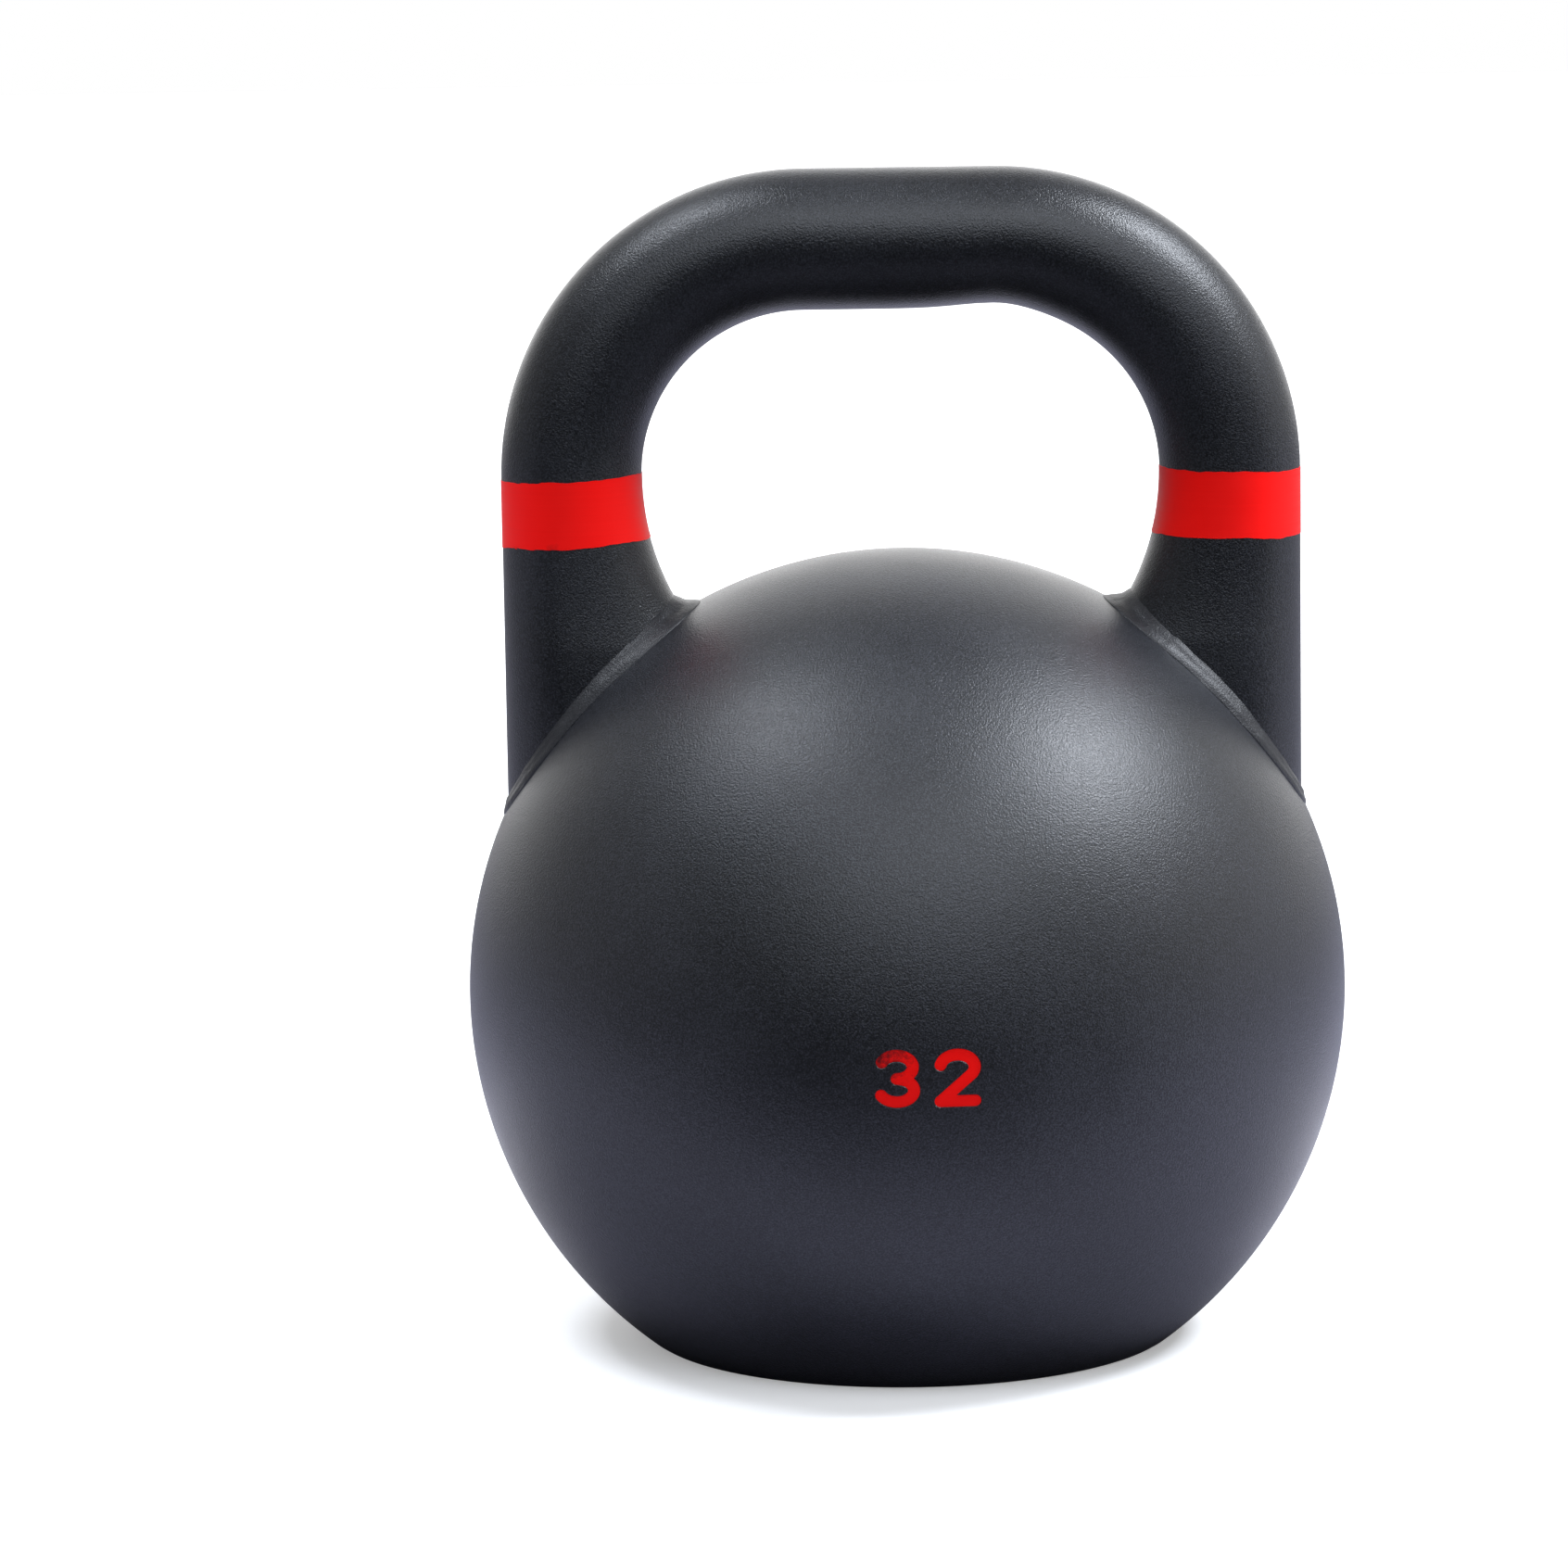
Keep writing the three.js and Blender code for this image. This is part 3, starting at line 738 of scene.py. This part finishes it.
def black_coat(name, dark, light, rough_low, rough_high, bump_strength):
    material, tree, shader, place = new_material(name)
    grain = use_group(tree, POWDER, Vector=place)
    tone = math_node(tree, "ADD", math_node(tree, "MULTIPLY", grain.outputs["Fleck"], 0.8),
                     math_node(tree, "MULTIPLY", grain.outputs["Broad"], 0.2))
    colour = blend_colours(tree, spread(tree, tone, 0.42, 0.68), dark, light)
    tree.links.new(colour, shader.inputs["Base Color"])
    rough = spread(tree, grain.outputs["Broad"], 0.3, 0.7, rough_low, rough_high)
    tree.links.new(rough, shader.inputs["Roughness"])
    bump(tree, shader, grain.outputs["Height"], bump_strength, 0.24 * MM)
    return material


def paint_wear():
    """Thin, rubbed paint: how much of the dark coat shows through, more towards one corner."""
    group, start, end = new_group("paint wear", [
        ("Vector", "NodeSocketVector", None),
        ("Corner", "NodeSocketVector", (0, 0, 0)),
        ("Reach", "NodeSocketFloat", 0.01),
        ("Amount", "NodeSocketFloat", 1.0),
    ], [("Worn", "NodeSocketFloat")])
    away = node(group, "ShaderNodeVectorMath", {0: start.outputs["Vector"], 1: start.outputs["Corner"]},
                operation="DISTANCE").outputs["Value"]
    near = math_node(group, "SUBTRACT", 1.0, math_node(group, "DIVIDE", away, start.outputs["Reach"]))
    patchy = noise_at(group, start.outputs["Vector"], 700, 4, 0.7)
    total = math_node(group, "ADD", near, spread(group, patchy, 0.3, 0.7, -0.45, 0.45))
    worn = math_node(group, "MULTIPLY", spread(group, total, 0.0, 0.9), start.outputs["Amount"])
    group.links.new(worn, end.inputs["Worn"])
    return group


WEAR = paint_wear()


def red_paint(name, worn_corner, reach, amount):
    material, tree, shader, place = new_material(name)
    streaked = node(tree, "ShaderNodeMapping", {"Vector": place, "Scale": (25, 25, 2200)}).outputs[0]
    brushed = noise_at(tree, streaked, 1.0, 3, 0.55)
    broad = noise_at(tree, place, 90, 2, 0.5)
    half_brushed = math_node(tree, "MULTIPLY", brushed, 0.5)
    half_broad = math_node(tree, "MULTIPLY", broad, 0.5)
    share = math_node(tree, "ADD", half_brushed, half_broad)
    red = blend_colours(tree, spread(tree, share, 0.3, 0.7), (0.95, 0.002, 0.001, 1), (1.0, 0.004, 0.002, 1))
    wear = use_group(tree, WEAR, Vector=place, Corner=worn_corner, Reach=reach, Amount=amount).outputs["Worn"]
    tree.links.new(blend_colours(tree, wear, red, (0.06, 0.004, 0.006, 1)), shader.inputs["Base Color"])
    shader.inputs["Specular IOR Level"].default_value = 0.2
    tree.links.new(spread(tree, share, 0.3, 0.7, 0.42, 0.55), shader.inputs["Roughness"])
    bump(tree, shader, brushed, 0.3, 0.06 * MM)
    return material


def steel(name, tint, rough):
    material, tree, shader, place = new_material(name)
    turned_marks = noise_at(tree, place, 420, 5, 0.65)
    broad = noise_at(tree, place, 60, 3, 0.5)
    darker = tuple(c * 0.55 for c in tint[:3]) + (1,)
    colour = blend_colours(tree, spread(tree, broad, 0.35, 0.7), tint, darker)
    tree.links.new(colour, shader.inputs["Base Color"])
    shader.inputs["Metallic"].default_value = 0.9
    tree.links.new(spread(tree, turned_marks, 0.3, 0.7, rough, rough + 0.25), shader.inputs["Roughness"])
    bump(tree, shader, turned_marks, 0.2, 0.08 * MM)
    return material


def soft_grain(name, dark, light, scale, rough, depth):
    material, tree, shader, place = new_material(name)
    grain = noise_at(tree, place, scale, 4, 0.6)
    colour = blend_colours(tree, spread(tree, grain, 0.35, 0.65), dark, light)
    tree.links.new(colour, shader.inputs["Base Color"])
    tree.links.new(spread(tree, grain, 0.3, 0.7, rough, min(rough + 0.1, 1)), shader.inputs["Roughness"])
    bump(tree, shader, grain, 0.5, depth)
    return material


COAT_DARK = (0.001, 0.0015, 0.003, 1)
grip_coat = black_coat("handled powder coat", COAT_DARK, (0.022, 0.024, 0.03, 1), 0.33, 0.4, 0.8)
coat = black_coat("black powder coat", COAT_DARK, (0.028, 0.03, 0.038, 1), 0.38, 0.44, 0.8)
weld_coat = black_coat("coated weld", (0.006, 0.0065, 0.009, 1), (0.012, 0.013, 0.017, 1), 0.42, 0.5, 0.8)
band_paint = red_paint("red band paint", (-LEG_X - 4 * MM, -BAR_RADIUS, BEND_Z - BAND_HEIGHT), 2 * MM, 0.3)
number_red = red_paint("red number paint", (number_low.x, number_low.y, number_high.z), 9 * MM, 0.9)
zinc = steel("zinc plated steel", (0.55, 0.55, 0.56, 1), 0.3)
mill_steel = steel("mill steel", (0.35, 0.35, 0.36, 1), 0.4)
shot = soft_grain("steel shot", (0.12, 0.12, 0.13, 1), (0.34, 0.34, 0.35, 1), 300, 0.45, 0.8 * MM)
seal_rubber = soft_grain("seal rubber", (0.012, 0.012, 0.012, 1), (0.03, 0.03, 0.03, 1), 900, 0.75, 0.05 * MM)
felt = soft_grain("packing felt", (0.09, 0.08, 0.07, 1), (0.19, 0.17, 0.15, 1), 1500, 0.9, 0.3 * MM)


# ---- Putting it together ----

ball = coated_ball()
between_digits = (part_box("weight_digit_3")[1].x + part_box("weight_digit_2")[0].x) / 2
three = number_paint(ball, number_low.x - MM, between_digits)
finish_piece(three, "number_3_paint", number_red, "red_paint", "weight_digit_3")
two = number_paint(ball, between_digits, number_high.x + MM)
finish_piece(two, "number_2_paint", number_red, "red_paint", "weight_digit_2")
finish_piece(ball, "coated_ball", coat, "black_coat", "upper_shell", "lower_shell", "girth_weld")

bar = bent_bar()
for side, word in ((-1, "left"), (1, "right")):
    finish_piece(leg_band(bar, side), f"{word}_leg_band", band_paint, "red_paint", f"{word}_band")
    finish_piece(foot_weld(side), f"{word}_foot_bead", weld_coat, "black_coat", f"{word}_foot_weld")
trim_feet(bar)
smooth(bar, 40)
finish_piece(bar, "bent_handle", grip_coat, "black_coat", "handle")

finish_piece(base_plate(), "flat_base_plate", coat, "black_coat", "base_plate")
finish_piece(base_weld(), "ground_base_weld", weld_coat, "black_coat", "base_weld")
finish_piece(fill_plug(), "slotted_fill_plug", zinc, "bare_steel", "fill_plug")
finish_piece(plug_seal(), "plug_sealing_ring", seal_rubber, "seal_rubber", "plug_seal")

for name, material in {
    "seam_backing_ring": mill_steel,
    "steel_core": mill_steel,
    "shot_fill": shot,
    "packing_disc": felt,
}.items():
    inner = frame["nodes"][name]
    inner.data.materials.clear()
    inner.data.materials.append(material)


# ---- Studio ----

CAMERA_DISTANCE = 1.5326
CAMERA_HEIGHT = 0.3654
CAMERA_YAW = math.radians(-1.076)
CAMERA_PITCH = math.radians(8.618)
CAMERA_ROLL = math.radians(-0.896)
CAMERA_LENS = 148.65


def place_camera():
    data = bpy.data.cameras.new("camera")
    data.lens = CAMERA_LENS
    data.sensor_width = 36
    data.clip_start = 0.01
    camera = bpy.data.objects.new("camera", data)
    bpy.context.collection.objects.link(camera)
    heading = Vector((math.sin(CAMERA_YAW), math.cos(CAMERA_YAW), 0))
    forward = heading * math.cos(CAMERA_PITCH) - Vector((0, 0, math.sin(CAMERA_PITCH)))
    right = Vector((heading.y, -heading.x, 0))
    up = right.cross(forward)
    across = right * math.cos(CAMERA_ROLL) + up * math.sin(CAMERA_ROLL)
    above = up * math.cos(CAMERA_ROLL) - right * math.sin(CAMERA_ROLL)
    turn = Matrix((across, above, -forward)).transposed().to_4x4()
    camera.matrix_world = Matrix.Translation((0, -CAMERA_DISTANCE, CAMERA_HEIGHT)) @ turn
    bpy.context.scene.camera = camera


def soft_light(name, swing, height, distance, size, power, colour):
    """A square soft box aimed at the object, this many degrees right of the front and above the floor."""
    aim = Vector((0, 0, 0.13))
    swing, height = math.radians(swing), math.radians(height)
    data = bpy.data.lights.new(name, "AREA")
    data.size = size
    data.energy = power
    data.color = colour
    lamp = bpy.data.objects.new(name, data)
    bpy.context.collection.objects.link(lamp)
    level = math.cos(height)
    towards = Vector((math.sin(swing) * level, -math.cos(swing) * level, math.sin(height)))
    lamp.location = aim + distance * towards
    lamp.rotation_euler = (aim - lamp.location).to_track_quat("-Z", "Y").to_euler()


def pale_floor():
    """A floor that looks near white and lights the object most from behind, least from well in front, and is
    painted darker close round the base as a contact shadow.
    """
    bpy.ops.mesh.primitive_plane_add(size=14, location=(0, 0, 0))
    floor = bpy.context.object
    floor.name = "pale_floor"
    material, tree, shader, place = new_material("pale floor")
    depth = node(tree, "ShaderNodeSeparateXYZ", {0: place}).outputs["Y"]
    away = node(tree, "ShaderNodeVectorMath", {0: place}, operation="LENGTH").outputs["Value"]
    seen = tree.nodes.new("ShaderNodeLightPath").outputs["Is Camera Ray"]
    # Painted contact shadow: the floor as the object sees it is darkened close round the base.
    bounce = math_node(tree, "MULTIPLY", spread(tree, depth, *FLOOR_EDGE), spread(tree, away, *FLOOR_CONTACT_SHADOW))
    bounce = math_node(tree, "MULTIPLY", bounce, spread(tree, away, *FLOOR_FALLOFF))
    bounce = blend_colours(tree, bounce, (0.02, 0.02, 0.02, 1), FLOOR_BOUNCE)
    tree.links.new(blend_colours(tree, seen, bounce, (FLOOR_SEEN,) * 3 + (1,)), shader.inputs["Base Color"])
    shader.inputs["Roughness"].default_value = 0.8
    shader.inputs["Specular IOR Level"].default_value = 0.1
    shader.inputs["Emission Color"].default_value = (1, 1, 1, 1)
    glow = node(tree, "ShaderNodeMix", data_type="FLOAT")
    tree.links.new(seen, glow.inputs[0])
    deep, close = spread(tree, depth, *FLOOR_GLOW_DEPTH), spread(tree, away, *FLOOR_GLOW_REACH)
    behind = math_node(tree, "MULTIPLY", deep, close)
    tree.links.new(behind, glow.inputs[2])
    tree.links.new(spread(tree, away, *FLOOR_LIFT), glow.inputs[3])
    tree.links.new(glow.outputs[0], shader.inputs["Emission Strength"])
    floor.data.materials.append(material)


def studio_world():
    """White walls, each with its own brightness, as the object sees them, and plain white behind it all."""
    world = bpy.data.worlds.new("studio")
    world.use_nodes = True
    tree = world.node_tree
    background = tree.nodes["Background"]
    background.inputs["Color"].default_value = (1, 1, 1, 1)
    coordinate = tree.nodes.new("ShaderNodeTexCoord").outputs["Generated"]
    split = node(tree, "ShaderNodeSeparateXYZ", {0: coordinate})
    total = None
    for (axis, sign), brightness in WALLS.items():
        facing = math_node(tree, "MAXIMUM", math_node(tree, "MULTIPLY", split.outputs[axis], sign), 0.0)
        part = math_node(tree, "MULTIPLY", math_node(tree, "POWER", facing, WALL_POWER), brightness)
        total = part if total is None else math_node(tree, "ADD", total, part)
    seen = tree.nodes.new("ShaderNodeLightPath").outputs["Is Camera Ray"]
    strength = node(tree, "ShaderNodeMix", data_type="FLOAT")
    tree.links.new(seen, strength.inputs[0])
    tree.links.new(total, strength.inputs[2])
    strength.inputs[3].default_value = 1.0
    tree.links.new(strength.outputs[0], background.inputs["Strength"])
    bpy.context.scene.world = world


# The floor as the object sees it. A row of four is a distance range and the brightness at each end of it.
FLOOR_BOUNCE = (0.5, 0.49, 0.61, 1)
FLOOR_EDGE = (-0.27, -0.13)
# Painted contact shadow round the base: the bounce held at a tenth near the base, rising to full farther out.
FLOOR_CONTACT_SHADOW = (0.055, 0.11, 0.1, 1.0)
FLOOR_FALLOFF = (0.35, 0.8, 1.0, 0.6)
FLOOR_GLOW_DEPTH = (-0.02, 0.12, 0.0, 0.9)
FLOOR_GLOW_REACH = (0.18, 0.34, 1.0, 0.0)
# The floor as the camera sees it.
FLOOR_SEEN = 0.9
FLOOR_LIFT = (0.35, 1.3, 0.3, 0.9)
COOL = (0.87, 0.92, 1.0)
WALL_POWER = 4.0
WALLS = {("X", -1): 0.5, ("X", 1): 1.4, ("Y", 1): 3.4, ("Z", 1): 0.38}
# Degrees round from the front, degrees up, distance, size, power and colour.
SOFT_BOXES = {
    "right_soft_box": (85, 51, 1.8, 0.5, 43, COOL),
    "left_soft_box": (-83, 63, 1.8, 0.45, 19, COOL),
    "front_right_soft_box": (20, 40, 1.7, 1.1, 11.0, COOL),
    "front_left_soft_box": (-16, 38, 1.7, 1.0, 7.0, COOL),
}

place_camera()
pale_floor()
studio_world()
for name, settings in SOFT_BOXES.items():
    soft_light(name, *settings)
bpy.context.scene.view_settings.view_transform = "Standard"
